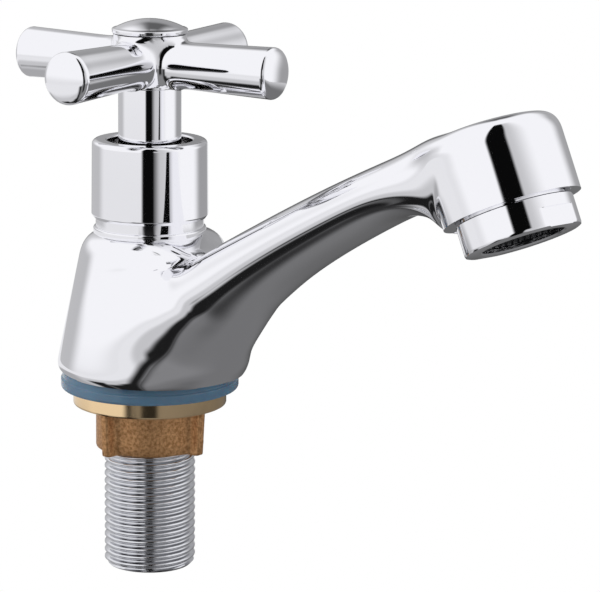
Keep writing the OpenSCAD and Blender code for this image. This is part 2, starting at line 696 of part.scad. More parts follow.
module aerator_screen() {
    low = -aerator_h + lip_t;
    n = floor((insert_r - 1.2) / screen_pitch);
    color("#6c7076") at_outlet() translate([0, 0, low]) {
        tube(insert_r - fit, insert_r - 1.2, screen_t);
        for (turn = [0, 90]) rotate(turn) for (i = [-n:n])
            let (half = sqrt(pow(insert_r - 1, 2) - pow(i * screen_pitch, 2)))
                translate([-half, i * screen_pitch - screen_bar / 2, turn == 0 ? 0 : 0.2])
                    cube([2 * half, screen_bar, screen_t - 0.4]);
    }
}

module aerator_washer() {
    color(rubber) at_outlet() translate([0, 0, aerator_thread_l])
        tube(aerator_thread_r - fit, outlet_r, head_bore_d - aerator_thread_l);
}

tap_body();
threaded_shank();
base_gasket();
backnut();
shroud();
cartridge_body();
cartridge_washer();
cartridge_spindle();
lower_oring();
upper_oring();
spindle_circlip();
friction_washer();
moving_disc();
fixed_disc();
seat_seal();
cross_handle();
handle_neck();
handle_screw();
index_cap();
aerator_housing();
aerator_insert();
aerator_screen();
aerator_washer();
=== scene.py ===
import math
import bmesh
import bpy
import numpy as np
from mathutils import Matrix, Vector


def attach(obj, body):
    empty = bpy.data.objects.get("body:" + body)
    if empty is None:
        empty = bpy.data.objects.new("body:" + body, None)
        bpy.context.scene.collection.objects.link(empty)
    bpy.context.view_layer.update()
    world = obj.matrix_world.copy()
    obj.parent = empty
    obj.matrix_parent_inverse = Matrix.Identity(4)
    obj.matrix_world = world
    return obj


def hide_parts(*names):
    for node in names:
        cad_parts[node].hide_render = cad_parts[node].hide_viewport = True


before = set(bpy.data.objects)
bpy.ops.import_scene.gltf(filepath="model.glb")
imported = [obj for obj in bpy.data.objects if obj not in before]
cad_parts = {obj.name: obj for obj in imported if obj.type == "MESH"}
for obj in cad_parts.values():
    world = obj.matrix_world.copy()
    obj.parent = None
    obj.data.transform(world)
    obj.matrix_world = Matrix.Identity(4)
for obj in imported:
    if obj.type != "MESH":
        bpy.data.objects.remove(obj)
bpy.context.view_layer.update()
print("frame loaded")

mm = 0.001
underside = 4.0  # height of the casting's underside over the deck, the gasket's thickness
mergeDist, thinDist = 1e-6, 1e-7  # metres: points closer than this are one, edges shorter than this go


def along(degrees):
    # a unit vector at an angle from the first axis
    return np.array([math.cos(math.radians(degrees)), math.sin(math.radians(degrees))])


def softMax(a, b, k):
    # the larger of two values, rounded over where they are nearer than k
    h = np.maximum(1 - np.abs(a - b) / k, 0)
    return np.maximum(a, b) + k * h * h / 4


def softMin(a, b, k):
    return -softMax(-a, -b, k)


def bezier(p, t):
    return (1 - t) ** 3 * p[0] + 3 * (1 - t) ** 2 * t * p[1] + 3 * (1 - t) * t * t * p[2] + t ** 3 * p[3]


def ramp(value, start, width):
    # 0 up to a start, 1 from one width past it
    return np.clip((value - start) / width, 0, 1)


def bearings(count):
    return 2 * np.pi * np.arange(count) / count


def levelRing(turn, r, z):
    # a level ring of points in mm, one for each bearing; r is one number or one for each point
    return np.stack([r * np.cos(turn), r * np.sin(turn), np.full_like(turn, z)], -1)


def rounded(corners, steps=5, beside=0.3, besideArc=0.2, shortest=0.5):
    # corners are (r, z) or (r, z, radius); a corner with a radius becomes an arc, and a point
    # is set on the straight just beside each corner, which keeps the shading of the straights true
    profile = []
    last = len(corners) - 1
    for i, corner in enumerate(corners):
        here = np.array(corner[:2], float)
        radius = corner[2] if len(corner) > 2 else 0
        back = np.array(corners[i - 1][:2], float) - here
        ahead = np.array(corners[(i + 1) % len(corners)][:2], float) - here
        room = beside * min(np.linalg.norm(back), np.linalg.norm(ahead), shortest)
        back /= max(np.linalg.norm(back), 1e-9)
        ahead /= max(np.linalg.norm(ahead), 1e-9)
        if radius == 0 or i in (0, last):
            profile += [tuple(here + back * room)] if i > 0 else []
            profile += [tuple(here)]
            profile += [tuple(here + ahead * room)] if i < last else []
            continue
        half = math.acos(float(np.clip(back @ ahead, -1, 1))) / 2
        tangent = radius / math.tan(half)
        centre = here + (back + ahead) / np.linalg.norm(back + ahead) * radius / math.sin(half)
        start = here + back * tangent - centre
        end = here + ahead * tangent - centre
        sweep = math.atan2(start[0] * end[1] - start[1] * end[0], start @ end)
        profile.append(tuple(here + back * (tangent + besideArc * room)))
        for k in range(steps + 1):
            turn = sweep * k / steps
            profile.append((centre[0] + start[0] * math.cos(turn) - start[1] * math.sin(turn),
                            centre[1] + start[0] * math.sin(turn) + start[1] * math.cos(turn)))
        profile.append(tuple(here + ahead * (tangent + besideArc * room)))
    return profile


def spun(bm, profile, steps=144, closed=True):
    # turns a profile of (r, z) in mm about the Z axis
    verts = [bm.verts.new((r * mm, 0, z * mm)) for r, z in profile]
    pairs = list(zip(verts, verts[1:])) + ([(verts[-1], verts[0])] if closed else [])
    edges = [bm.edges.new(pair) for pair in pairs]
    bmesh.ops.spin(bm, geom=verts + edges, cent=(0, 0, 0), axis=(0, 0, 1), dvec=(0, 0, 0),
                   angle=2 * math.pi, steps=steps, use_merge=True, use_duplicate=False)
    bmesh.ops.remove_doubles(bm, verts=bm.verts, dist=mergeDist)
    bmesh.ops.dissolve_degenerate(bm, edges=bm.edges, dist=thinDist)
    return bm


def rotated(bm, verts, degrees, axis="Z"):
    bmesh.ops.rotate(bm, verts=verts, cent=(0, 0, 0), matrix=Matrix.Rotation(math.radians(degrees), 3, axis))


def openEdges(bm):
    return [e for e in bm.edges if len(e.link_faces) == 1]


def ringEdges(ring):
    # each edge once, in the same order on every run
    return list(dict.fromkeys(e for v in ring for e in v.link_edges))


def grownRing(bm, verts, edges, points):
    # extrudes a ring of edges and puts the new ring on the given points, in mm
    grown = bmesh.ops.extrude_edge_only(bm, edges=edges)["geom"]
    new = {g for g in grown if isinstance(g, bmesh.types.BMVert)}
    ring = [next(e.other_vert(v) for e in v.link_edges if e.other_vert(v) in new) for v in verts]
    for v, p in zip(ring, points):
        v.co = Vector(p) * mm
    return ring, [g for g in grown if isinstance(g, bmesh.types.BMEdge) and set(g.verts) <= new]


def lofted(rings, capStart=True, capEnd=True):
    # a skin through rings of equal counts of points, in mm
    bm = bmesh.new()
    ring = bmesh.ops.create_circle(bm, segments=len(rings[0]), radius=mm)["verts"]
    for v, p in zip(ring, rings[0]):
        v.co = Vector(p) * mm
    edges = ringEdges(ring)
    if capStart:
        bmesh.ops.contextual_create(bm, geom=edges)
    for points in rings[1:]:
        ring, edges = grownRing(bm, ring, edges, points)
    if capEnd:
        bmesh.ops.contextual_create(bm, geom=edges)
    return bm


def loopedRound(rings):
    # a closed skin round a bore, with its last ring joined to its first
    bm = lofted(rings, capStart=False, capEnd=False)
    bmesh.ops.bridge_loops(bm, edges=openEdges(bm))
    return bm


def finished(bm, name, materials, body, replaced, sharp=38):
    # turns a bmesh into a piece that rides on a body and stands for a node
    bmesh.ops.recalc_face_normals(bm, faces=bm.faces)
    mesh = bpy.data.meshes.new(name)
    bm.to_mesh(mesh)
    bm.free()
    mesh.shade_smooth()
    mesh.set_sharp_from_angle(angle=math.radians(sharp))
    piece = bpy.data.objects.new(name, mesh)
    bpy.context.scene.collection.objects.link(piece)
    for material in materials:
        mesh.materials.append(material)
    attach(piece, body)
    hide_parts(replaced)


def linear(hexColour):
    parts = [int(hexColour[i:i + 2], 16) / 255 for i in (1, 3, 5)]
    return [c / 12.92 if c <= 0.04045 else ((c + 0.055) / 1.055) ** 2.4 for c in parts] + [1.0]


def addNode(tree, kind, settings=None, inputs=None, links=None):
    # adds one node, sets its fields and sockets, and links sockets from other nodes
    node = tree.nodes.new(kind)
    for key, value in (settings or {}).items():
        setattr(node, key, value)
    for key, value in (inputs or {}).items():
        node.inputs[key].default_value = value
    for key, source in (links or {}).items():
        tree.links.new(source, node.inputs[key])
    return node


def newMaterial(name, metallic=0.0, colour=None):
    material = bpy.data.materials.new(name)
    material.use_nodes = True
    tree = material.node_tree
    shader = tree.nodes["Principled BSDF"]
    shader.inputs["Metallic"].default_value = metallic
    if colour:
        shader.inputs["Base Color"].default_value = linear(colour)
    where = addNode(tree, "ShaderNodeTexCoord").outputs["Object"]
    return material, tree, shader, where


def unevenGloss(tree, shader, pattern, roughness):
    # a pattern carries the roughness from one value to another
    spread = addNode(tree, "ShaderNodeMapRange", inputs={"To Min": roughness[0], "To Max": roughness[1]},
                     links={"Value": pattern.outputs["Fac"]})
    tree.links.new(spread.outputs["Result"], shader.inputs["Roughness"])


# In the looks sizes and depths are in mm, and a pair of roughnesses is the least and the most.

# Bright chrome plate over polished brass: mirror-like, with faint buffing waves
chromeLook = {"colour": "#f5f5f8", "roughness": (0.03, 0.06), "hazeSize": 6.0,
              "waveSize": 14.0, "waveDepth": 0.01, "waveStrength": 0.25}
chromePlate, tree, shader, where = newMaterial("brightChromePlate", 1.0, chromeLook["colour"])
haze = addNode(tree, "ShaderNodeTexNoise",
               inputs={"Scale": 1000 / chromeLook["hazeSize"], "Detail": 3.0}, links={"Vector": where})
unevenGloss(tree, shader, haze, chromeLook["roughness"])
buff = addNode(tree, "ShaderNodeTexNoise",
               inputs={"Scale": 1000 / chromeLook["waveSize"], "Detail": 1.0}, links={"Vector": where})
wave = addNode(tree, "ShaderNodeBump",
               inputs={"Strength": chromeLook["waveStrength"], "Distance": chromeLook["waveDepth"] * mm},
               links={"Height": buff.outputs["Fac"]})
tree.links.new(wave.outputs["Normal"], shader.inputs["Normal"])

# Nickel-dull rolled thread: turned metal with fine rings round the axis
threadLook = {"colour": "#e2e3e7", "roughness": (0.1, 0.2), "lineSize": 0.35, "lineStretch": 0.05}
threadMetal, tree, shader, where = newMaterial("dullNickelThread", 1.0, threadLook["colour"])
stretch = addNode(tree, "ShaderNodeMapping",
                  inputs={"Scale": (threadLook["lineStretch"], threadLook["lineStretch"], 1.0)},
                  links={"Vector": where})
lines = addNode(tree, "ShaderNodeTexNoise", inputs={"Scale": 1000 / threadLook["lineSize"], "Detail": 4.0},
                links={"Vector": stretch.outputs["Vector"]})
unevenGloss(tree, shader, lines, threadLook["roughness"])

# Sand-cast brass as it leaves the mould: brown, grainy, with patches of tarnish
castLook = {"light": "#dcab7a", "dark": "#a97b50", "darkUpTo": 0.36, "lightFrom": 0.64, "speckle": 0.7,
            "grain": 0.5, "depth": 0.16, "strength": 0.6, "roughness": (0.32, 0.55)}
castBrass, tree, shader, where = newMaterial("sandCastBrass", 0.9)
patches = addNode(tree, "ShaderNodeTexNoise",
                  inputs={"Scale": 1000 / castLook["speckle"], "Detail": 3.0, "Roughness": 0.6},
                  links={"Vector": where})
tone = addNode(tree, "ShaderNodeValToRGB", links={"Fac": patches.outputs["Fac"]})
tone.color_ramp.elements[0].position = castLook["darkUpTo"]
tone.color_ramp.elements[0].color = linear(castLook["dark"])
tone.color_ramp.elements[1].position = castLook["lightFrom"]
tone.color_ramp.elements[1].color = linear(castLook["light"])
tree.links.new(tone.outputs["Color"], shader.inputs["Base Color"])
grain = addNode(tree, "ShaderNodeTexNoise",
                inputs={"Scale": 1000 / castLook["grain"], "Detail": 5.0, "Roughness": 0.7},
                links={"Vector": where})
grit = addNode(tree, "ShaderNodeBump",
               inputs={"Strength": castLook["strength"], "Distance": castLook["depth"] * mm},
               links={"Height": grain.outputs["Fac"]})
tree.links.new(grit.outputs["Normal"], shader.inputs["Normal"])
unevenGloss(tree, shader, grain, castLook["roughness"])

# Machined brass face: pale gold with concentric tool marks, drawn 1.6 mm apart so that they show
facedLook = {"colour": "#fbdcae", "roughness": (0.1, 0.2), "lineSize": 0.25, "ringRate": 20}
facedBrass, tree, shader, where = newMaterial("facedBrass", 1.0, facedLook["colour"])
radial = addNode(tree, "ShaderNodeTexWave", {"wave_type": "RINGS", "rings_direction": "Z"},
                 {"Scale": 1000 / facedLook["lineSize"] / facedLook["ringRate"], "Distortion": 1.5, "Detail": 2.0},
                 {"Vector": where})
unevenGloss(tree, shader, radial, facedLook["roughness"])

# Soft clear-blue silicone: light soaks in and the edge glows paler
gasketLook = {"colour": "#5f7c8e", "deep": "#3a5470", "cloudSize": 9.0, "roughness": 0.12, "ior": 1.41,
              "soak": 0.35, "soakDepth": 3.0}
clearGasket, tree, shader, where = newMaterial("clearBlueSilicone")
cloud = addNode(tree, "ShaderNodeTexNoise",
                inputs={"Scale": 1000 / gasketLook["cloudSize"], "Detail": 2.0}, links={"Vector": where})
gasketTone = addNode(tree, "ShaderNodeValToRGB", links={"Fac": cloud.outputs["Fac"]})
gasketTone.color_ramp.elements[0].color = linear(gasketLook["deep"])
gasketTone.color_ramp.elements[1].color = linear(gasketLook["colour"])
tree.links.new(gasketTone.outputs["Color"], shader.inputs["Base Color"])
shader.inputs["Roughness"].default_value = gasketLook["roughness"]
shader.inputs["IOR"].default_value = gasketLook["ior"]
shader.inputs["Subsurface Weight"].default_value = gasketLook["soak"]
shader.inputs["Subsurface Scale"].default_value = gasketLook["soakDepth"] * mm

# Stainless gauze, dark between the wires; the wires themselves are coloured near-black as painted shade of the recessed
# outlet, with small glints on them
shadeDarkGauzeLook = {"colour": "#222326", "roughness": (0.15, 0.5), "glintSize": 1.2}
shadeDarkGauzeWire, tree, shader, where = newMaterial("stainlessGauzePaintedShade", 1.0, shadeDarkGauzeLook["colour"])
glint = addNode(tree, "ShaderNodeTexNoise",
                inputs={"Scale": 1000 / shadeDarkGauzeLook["glintSize"], "Detail": 2.0}, links={"Vector": where})
unevenGloss(tree, shader, glint, shadeDarkGauzeLook["roughness"])

# Plain inner finishes: colour, metallic, middle roughness and size of the speckle
innerLooks = {
    "nickelledBrass": ("#b3b1ab", 1.0, 0.3, 0.5),  # nickel plate on turned brass: satin, warm grey
    "zincSteel": ("#9a9da1", 1.0, 0.32, 0.6),  # zinc plate on pressed steel: cold grey
    "nitrileRubber": ("#2c2f33", 0.0, 0.6, 0.8),  # moulded rubber: dull black
    "greyAcetal": ("#3d4148", 0.0, 0.45, 1.0),  # moulded plastic: smooth dark grey
    "whiteAcetal": ("#e6e6dd", 0.0, 0.4, 1.0),  # moulded plastic: smooth off-white
    "pressedFibre": ("#8a4b3a", 0.0, 0.8, 0.4),  # pressed sheet: matt red-brown
    "lappedCeramic": ("#efeee8", 0.0, 0.12, 2.0)}  # lapped alumina: glossy white
speckTone, speckGloss = 0.82, (0.8, 1.25)  # shares of the colour and of the roughness
innerMaterials = {}
for name, (colour, metallic, roughness, size) in innerLooks.items():
    material, tree, shader, where = newMaterial(name, metallic)
    speck = addNode(tree, "ShaderNodeTexNoise", inputs={"Scale": 1000 / size, "Detail": 3.0}, links={"Vector": where})
    tone = addNode(tree, "ShaderNodeValToRGB", links={"Fac": speck.outputs["Fac"]})
    base = linear(colour)
    tone.color_ramp.elements[0].color = [c * speckTone for c in base[:3]] + [1.0]
    tone.color_ramp.elements[1].color = base
    tree.links.new(tone.outputs["Color"], shader.inputs["Base Color"])
    unevenGloss(tree, shader, speck, (roughness * speckGloss[0], min(1, roughness * speckGloss[1])))
    innerMaterials[name] = material
print("materials made")


# The cast body: a leaning barrel, a turned head and a spout of varying sections, melted together.
# x runs towards the outlet and z up from the casting's underside.
casting = {
    "barrelR": 21.6, "barrelTopR": 15.9, "bodyH": 32.8, "barrelLean": 1.6, "shoulderRound": 5.5,
    "footRound": 3.0, "footSink": 0.2, "spoutReach": 113.2, "rimH": 53.2, "spoutTilt": 25.7, "waistW": 25.2,
    "headR": 14.1, "headH": 17.5, "headRound": 4.5, "headFall": 0.04, "valleyBlend": 5.0, "headBlend": 6.0,
    "collarR": 12.3, "collarH": 7.2, "collarBoreR": 10.6, "ringsPerStation": 8, "ringSides": 160, "widest": 48.0,
    "halvings": 24}
bodyH, reach = casting["bodyH"], casting["spoutReach"]
slope, lift = along(casting["spoutTilt"]), along(casting["spoutTilt"] + 90)
rimCentre = np.array([reach, casting["rimH"]])
barrelSlope = (casting["barrelR"] - casting["barrelTopR"]) / bodyH
leanSlope = casting["barrelLean"] / bodyH


def inHead(a, b):
    return rimCentre + a * slope + b * lift


def barrelField(x, y, z):
    off = np.hypot(x - leanSlope * z, y)
    side = (off - casting["barrelR"] + barrelSlope * z) / math.hypot(1, barrelSlope)
    return softMax(softMax(side, z - bodyH, casting["shoulderRound"]), -z - casting["footSink"], casting["footRound"])


def headField(x, y, z):
    a = (x - reach) * slope[0] + (z - casting["rimH"]) * slope[1]
    b = (x - reach) * lift[0] + (z - casting["rimH"]) * lift[1]
    top = b - casting["headH"] + casting["headFall"] * a
    return softMax(np.hypot(a, y) - casting["headR"], top, casting["headRound"])


# the rails that the spout's underside and top follow: offsets in mm, directions in degrees
rail = {"toeOut": 3.5, "toePull": 11.2, "toeRise": 62, "coveAt": (-28, 8.1), "covePull": 0.5,
        "valleyOut": 4.1, "valleyDrop": 3.7, "valleyRise": 28, "headAt": -12.5, "headOver": 1, "headRise": 19.2,
        "upperPull": 0.22}
toe = np.array([casting["barrelR"] + rail["toeOut"], casting["footRound"]])
cove = inHead(*rail["coveAt"])
underRail = [toe, toe + rail["toePull"] * along(rail["toeRise"]), cove - rail["covePull"] * reach * slope, cove]
valley = np.array([casting["barrelTopR"] + rail["valleyOut"], bodyH - rail["valleyDrop"]])
headStart = inHead(rail["headAt"], casting["headH"] + rail["headOver"])
upperRail = [valley, valley + rail["upperPull"] * reach * along(rail["valleyRise"]),
             headStart - rail["upperPull"] * reach * along(rail["headRise"]), headStart]

# where the sections stand, as shares of the barrel's height and of the rails, and what each adds
# to half the waist's width
barrelPart = {"heights": (0.10, 0.31, 0.52, 0.76), "crown": ((-12.6, -1.3), (-4, 0), (7, 0)),
              "under": (0, 0.07, 0.14, 0.21, 0.28, 0.34, 0.40), "footWide": 4.9, "footIn": (0.8, 0.4),
              "wide": 5.4, "narrowing": 0.075, "squaring": 0.007, "split": 0.5, "share": 0.86}
spoutPart = {"upper": (0, 0.17, 0.34, 0.54, 0.74, 0.90), "under": (0.47, 0.58, 0.69, 0.81, 0.92, 1),
             "wide": (1.8, 0.9, 0.3, 0, 0.1, 0.5), "split": 0.44, "topN": 2.4, "lowN": 2.25, "squaring": 0.08}


def shareBelow(far, low):
    # how much of a section lies under the line that leaves the valley
    d, s, e = np.array(far) - low, along(rail["valleyRise"]), valley - low
    return min(1, (e[0] * s[1] - e[1] * s[0]) / (d[0] * s[1] - d[1] * s[0]))


def castingSections():
    # each section: far point, low point, half width, split, roundness above and below, and the
    # share of it below the upper rail
    half, rows = casting["waistW"] / 2, []

    def add(far, low, width, split, topN, lowN, share):
        rows.append([far[0], far[1], low[0], low[1], share, width, split, topN, lowN])

    backIn, frontIn = barrelPart["footIn"]
    add((-casting["barrelR"] + backIn, 0), (casting["barrelR"] - frontIn, 0), half + barrelPart["footWide"],
        barrelPart["split"], 2, 2, barrelPart["share"])
    back = [(-(casting["barrelR"] - barrelSlope * s * bodyH) + leanSlope * s * bodyH, s * bodyH)
            for s in barrelPart["heights"]]
    for i, far in enumerate(back + [(x, bodyH + drop) for x, drop in barrelPart["crown"]]):
        low = bezier(underRail, barrelPart["under"][i])
        n = 2 + barrelPart["squaring"] * i * i
        add(far, low, half + barrelPart["wide"] - barrelPart["narrowing"] * i * i, barrelPart["split"], n, n,
            barrelPart["share"] if i < 2 else shareBelow(far, low))
    for i, (upper, under, wide) in enumerate(zip(spoutPart["upper"], spoutPart["under"], spoutPart["wide"])):
        add(bezier(upperRail, upper), bezier(underRail, under), half + wide, spoutPart["split"],
            spoutPart["topN"], spoutPart["lowN"] + spoutPart["squaring"] * i, 1)
    headR, headH = casting["headR"], casting["headH"]
    add(headStart, inHead(-headR - 3.4, 4.6), half + 0.2, 0.48, 2.6, 2.5, 1)
    add(inHead(-4, headH), inHead(-headR - 0.7, 1.2), headR - 3, 0.5, 2.4, 2.2, 0.95)
    # inside the head the sections only lead the rings to its front
    for a, b, low in [(5, 0.98, 1), (11.5, 0.87, 0.8), (13.6, 0.6, 0.6), (headR, 0.31, 0.4),
                      (headR, 0.05, 0.2), (headR, 0, 0)]:
        add(inHead(a, b * headH), inHead(-headR, low), headR - 5, 0.5, 2, 2, 0.8)
    return np.array(rows, float)


# fairing: how much each part of the skin is smoothed, by station and by height on the ring
fairing = {"sectionPasses": 12, "passes": 60, "flankFrom": 0.4, "flankWidth": 1.5, "flankTop": 0.45, "flankFade": 0.4,
           "crownFrom": 8.6, "crownWidth": 1.2, "headFrom": 15.2, "headWidth": 1.5, "least": 0.06,
           "startWidth": 0.5, "lastStation": 16, "pace": 0.33, "lengthwise": 0.5, "around": 0.4}


def castingRings(steps, sides):
    stations = castingSections()
    padded = np.vstack([2 * stations[0] - stations[1], stations, 2 * stations[-1] - stations[-2]])
    rows = []
    for i in range(len(stations) - 1):
        a, b, c, d = padded[i:i + 4]
        for k in range(steps):
            t = k / steps
            rows.append(0.5 * (2 * b + (c - a) * t + (2 * a - 5 * b + 4 * c - d) * t * t
                               + (3 * b - a - 3 * c + d) * t ** 3))
    rows.append(stations[-1])
    rows = np.array(rows)
    for _ in range(fairing["sectionPasses"]):
        # the section's shape changes evenly between stations
        rows[1:-1, 5:] += 0.25 * (rows[2:, 5:] + rows[:-2, 5:] - 2 * rows[1:-1, 5:])
    turn = bearings(sides)
    rings = []
    for farX, farZ, lowX, lowZ, share, half, split, topN, lowN in rows:
        length = math.hypot(farX - lowX, farZ - lowZ)
        dirX, dirZ = (farX - lowX) / length, (farZ - lowZ) / length
        top = length * share
        middle = split * top
        near, out = np.zeros(sides), np.full(sides, casting["widest"])
        for _ in range(casting["halvings"]):
            # halves the gap in which each point meets the melted surface
            r = (near + out) / 2
            run, y = length / 2 + r * np.cos(turn), r * np.sin(turn)
            x, z = lowX + run * dirX, lowZ + run * dirZ
            span = np.where(run >= middle, top - middle, middle)
            n = np.where(run >= middle, topN, lowN)
            e = ((np.abs(run - middle) / span) ** n + (np.abs(y) / half) ** n) ** (1 / n)
            field = softMin(softMin((e - 1) * np.minimum(span, half), barrelField(x, y, z), casting["valleyBlend"]),
                            headField(x, y, z), casting["headBlend"])
            near, out = np.where(field < 0, r, near), np.where(field < 0, out, r)
        run = length / 2 + r * np.cos(turn)
        rings.append(np.stack([lowX + run * dirX, r * np.sin(turn), lowZ + run * dirZ + underside], -1))
    # fair the skin: strongly on the flanks and the spout, hardly at the shoulder and the valley, not at the ends
    rings = np.array(rings)
    station = np.arange(len(rows))[:, None] / steps
    up = np.cos(turn)[None, :]
    beforeHead = ramp(-station, -fairing["headFrom"], fairing["headWidth"])
    flank = ramp(station, fairing["flankFrom"], fairing["flankWidth"]) * beforeHead
    flank = flank * ramp(-up, -fairing["flankTop"], fairing["flankFade"])
    crown = ramp(station, fairing["crownFrom"], fairing["crownWidth"]) * beforeHead
    ends = ramp(station, 0, fairing["startWidth"]) * ramp(-station, -fairing["lastStation"], 1)
    weight = (np.maximum(np.maximum(flank, crown), fairing["least"]) * ends)[:, :, None]
    for _ in range(fairing["passes"]):
        change = np.zeros_like(rings)
        change[1:-1] = fairing["lengthwise"] * (rings[2:] + rings[:-2]) - rings[1:-1]
        change += fairing["around"] * (0.5 * (np.roll(rings, 1, 1) + np.roll(rings, -1, 1)) - rings)
        rings = rings + fairing["pace"] * weight * change
    return list(rings)


bm = lofted(castingRings(casting["ringsPerStation"], casting["ringSides"]))
shoulder = underside + bodyH
spun(bm, rounded([
    (casting["collarBoreR"], shoulder - 2), (casting["collarR"] + 0.55, shoulder - 2),
    (casting["collarR"] + 0.55, shoulder + 0.62, 0.4), (casting["collarR"], shoulder + 0.75),
    (casting["collarR"], shoulder + casting["collarH"], 0.3), (casting["collarBoreR"], shoulder + casting["collarH"])]))
finished(bm, "tapBodyCasting", [chromePlate], "tap", "tap_body", sharp=50)
print("casting made")


# G1/2 tail: the thread's flanks are shares of the pitch
shank = {"crestR": 10.478, "rootR": 9.55, "pitch": 1.814, "rootFlat": 0.16, "flank": 0.68, "soft": 0.35,
         "low": -42.0, "top": 8.0, "boreR": 7.2, "chamfer": 1.0, "boreChamfer": 0.6, "boreChamferH": 0.7,
         "sides": 96, "stepsPerTurn": 12}


def threadRings(turn):
    # one ring per height step; the helix comes from the phase of each point
    rings = []
    for z in np.arange(shank["low"], shank["top"] + 1e-6, shank["pitch"] / shank["stepsPerTurn"]):
        phase = (z / shank["pitch"] - turn / (2 * np.pi)) % 1
        tooth = ramp(np.abs(phase - 0.5) * 2, shank["rootFlat"], shank["flank"])
        tooth = tooth * tooth * (3 - 2 * tooth) * shank["soft"] + tooth * (1 - shank["soft"])
        r = shank["rootR"] + (shank["crestR"] - shank["rootR"]) * tooth
        r = np.minimum(r, shank["crestR"] - shank["chamfer"] + (z - shank["low"]))
        rings.append(levelRing(turn, r, z))
    return rings


turn = bearings(shank["sides"])
bore = [(shank["boreR"], shank["top"]), (shank["boreR"], shank["low"] + shank["boreChamferH"]),
        (shank["boreR"] + shank["boreChamfer"], shank["low"])]
bm = loopedRound(threadRings(turn) + [levelRing(turn, r, z) for r, z in bore])
finished(bm, "threadedShank", [threadMetal], "tap", "threaded_shank", sharp=60)

gasket = {"outerR": 20.4, "upperR": 20.05, "boreR": 10.68, "split": 2.2, "footRound": 0.7, "lip": 0.35,
          "topRound": 0.3}
bm = spun(bmesh.new(), rounded([
    (gasket["boreR"], 0), (gasket["outerR"], 0, gasket["footRound"]),
    (gasket["outerR"], gasket["split"], gasket["lip"]), (gasket["upperR"], gasket["split"] + gasket["lip"]),
    (gasket["upperR"], underside, gasket["topRound"]), (gasket["boreR"], underside)]))
finished(bm, "deckGasket", [clearGasket], "tap", "base_gasket", sharp=60)

nut = {"flangeR": 17.6, "flangeT": 3.8, "drumR": 12.4, "drumH": 10.2, "boreR": 10.528, "draft": 0.6, "lugs": 4,
       "lugTurn": 8.5, "lugReach": 16.1, "lugT": 2.0, "lugEdge": 0.5, "filletOut": 1.2, "filletFrom": 15,
       "drumPoints": 9}


def nutOutline():
    # plan of the drum with one lug, as points from -45 to 45 degrees
    half, reachX, edge = nut["lugT"] / 2, nut["lugReach"], nut["lugEdge"]
    lower = [nut["drumR"] * along(a) for a in np.linspace(-45, -nut["filletFrom"] - 3, nut["drumPoints"])]
    start = nut["drumR"] * along(-nut["filletFrom"])
    mid = np.array([nut["drumR"] + 0.05, -half - 0.25])
    corner = np.array([nut["drumR"] + nut["filletOut"], -half])
    for t in (0.25, 0.5, 0.75, 1.0):
        lower.append((1 - t) ** 2 * start + 2 * (1 - t) * t * mid + t * t * corner)
    lower += [np.array([x, -half]) for x in (nut["drumR"] + 2.0, reachX - 2 * edge, reachX - edge)]
    lower += [np.array([reachX - edge, -half + edge]) + edge * along(a) for a in (-60, -30)]
    lower.append(np.array([reachX, -half + edge]))
    return lower + [np.array([p[0], -p[1]]) for p in reversed(lower)][:-1]


outline = []
for i in range(nut["lugs"]):
    c, s = along(nut["lugTurn"] + 90 * i)
    outline += [np.array([p[0] * c - p[1] * s, p[0] * s + p[1] * c]) for p in nutOutline()]
outline = np.array(outline)
radius, bearing = np.hypot(outline[:, 0], outline[:, 1]), np.arctan2(outline[:, 1], outline[:, 0])


def lugRing(shrink, z, inset=0.0):
    # the drum with its lugs; shrink is how much of the draft they have lost
    extra = np.maximum(radius - nut["drumR"], 0)
    grown = nut["drumR"] + extra * (1 - shrink * nut["draft"] / (nut["lugReach"] - nut["drumR"]))
    return levelRing(bearing, grown - inset, z)


flangeLow, nutLow = -nut["flangeT"], -nut["flangeT"] - nut["drumH"]
flangeR, boreR = nut["flangeR"], nut["boreR"]
flangeRows = [
    (boreR + 0.5, 0), (flangeR - 0.5, 0), (flangeR - 0.35, 0), (flangeR - 0.1, -0.1), (flangeR, -0.35),
    (flangeR, -0.5), (flangeR, flangeLow + 0.55), (flangeR, flangeLow + 0.4), (flangeR - 0.12, flangeLow + 0.12),
    (flangeR - 0.4, flangeLow), (np.minimum(radius + 0.5, flangeR - 0.8), flangeLow)]
lugRows = [
    (0, flangeLow - 0.4), (0.25, flangeLow - 2.6), (0.5, flangeLow - 5.2), (0.75, flangeLow - 7.7),
    (0.96, nutLow + 0.5), (1, nutLow + 0.15, 0.12), (1, nutLow, 0.45)]
boreRows = [(boreR + 0.6, nutLow), (boreR, nutLow + 0.6), (boreR, -0.5)]
bm = loopedRound([levelRing(bearing, r, z) for r, z in flangeRows] + [lugRing(*row) for row in lugRows]
                 + [levelRing(bearing, r, z) for r, z in boreRows])
for face in bm.faces:
    # the flange's rim and top are machined, the rest is as cast
    face.material_index = 1 if face.calc_center_median().z > (flangeLow + 0.02) * mm else 0
finished(bm, "castBacknut", [castBrass, facedBrass], "nut", "backnut", sharp=32)
print("shank, gasket and backnut made")


cover = {"low": 39.6, "high": 57.4, "lowR": 13.3, "topR": 13.1, "skirtR": 12.35, "innerR": 11.9, "mouthR": 9.7,
         "footIn": 0.55, "footH": 0.75, "mouthH": 1.9, "ceiling": 3.4, "topRound": 1.1}
bm = spun(bmesh.new(), rounded([
    (cover["skirtR"], cover["low"]), (cover["lowR"] - cover["footIn"], cover["low"], 0.1),
    (cover["lowR"] - 0.05, cover["low"] + cover["footH"], 0.5), (cover["topR"], cover["high"], cover["topRound"]),
    (cover["mouthR"], cover["high"], 0.45), (cover["mouthR"], cover["high"] - cover["mouthH"], 0.2),
    (cover["innerR"], cover["high"] - cover["ceiling"], 0.3), (cover["innerR"], shoulder + 7.5),
    (cover["skirtR"], shoulder + 7.3)], steps=6), steps=160)
finished(bm, "headworkShroud", [chromePlate], "tap", "shroud", sharp=60)

